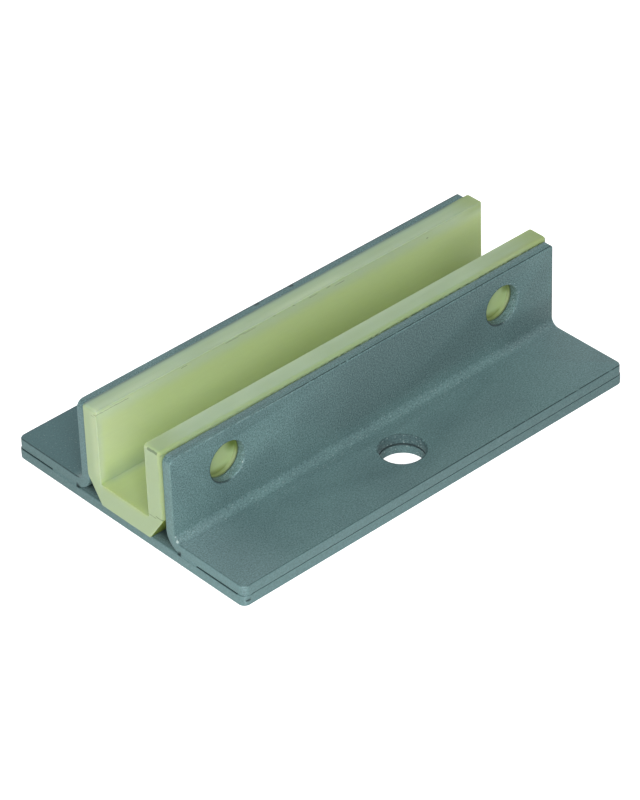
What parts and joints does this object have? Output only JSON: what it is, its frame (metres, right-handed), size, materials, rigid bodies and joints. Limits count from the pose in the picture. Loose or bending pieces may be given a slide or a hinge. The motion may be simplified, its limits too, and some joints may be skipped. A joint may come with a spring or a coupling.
{
  "type": "elevator guide shoe",
  "caption": "Sliding elevator guide shoe: a pale plastic channel liner held between folded steel angles on a flat base plate, bolted down through the flanges.",
  "frame": {"origin": "centre of the base plate's underside", "axes": "+X along the guide rail, +Y across the rail towards the left flange, +Z away from the mounting surface, up through the open side of the channel"},
  "size_m": [0.1208, 0.0786, 0.0289],
  "materials": {
    "painted_steel": "satin blue-grey paint with a fine grain",
    "liner_plastic": "pale yellow-green translucent plastic, slightly scuffed"
  },
  "bodies": {
    "root": {"base_plate": "painted_steel", "bracket_left": "painted_steel", "bracket_right": "painted_steel", "seam_welds": "painted_steel", "guide_liner": "liner_plastic"}
  },
  "joints": []
}
